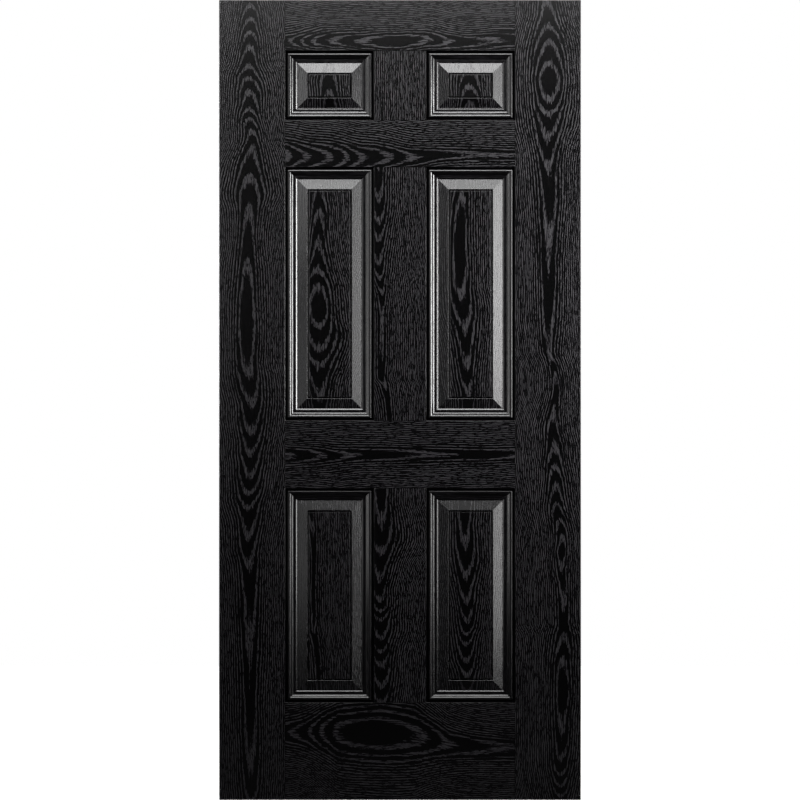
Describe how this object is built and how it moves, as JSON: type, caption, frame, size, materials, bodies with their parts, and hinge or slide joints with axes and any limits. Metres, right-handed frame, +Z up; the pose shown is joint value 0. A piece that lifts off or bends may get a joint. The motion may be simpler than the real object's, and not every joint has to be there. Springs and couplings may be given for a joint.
{
  "type": "panelled front door leaf",
  "caption": "Flat door leaf with raised panels in moulded surrounds, black wood-grain skins over a framed foam core, hung on its long edge to close a doorway.",
  "frame": {"origin": "middle of the leaf's bottom edge: halfway along its width and through its thickness", "axes": "+X to the right as the outer face is looked at, towards the lock edge; +Y through the leaf into the house; +Z up"},
  "size_m": [0.908, 0.044, 2.007],
  "materials": {
    "skin": "satin black glass-fibre moulding with a pressed wood grain",
    "edge_band": "satin black extruded strip",
    "core_timber": "laminated veneer timber, sawn",
    "core_rail": "water-resistant composite, planed",
    "foam": "rigid polyurethane foam"
  },
  "bodies": {
    "root": {"outer_skin": "skin", "inner_skin": "skin", "hinge_stile": "core_timber", "lock_stile": "core_timber", "top_rail": "core_rail", "bottom_rail": "core_rail", "lock_block": "core_timber", "foam_core": "foam", "hinge_edge_band": "edge_band", "lock_edge_band": "edge_band"}
  },
  "joints": []
}
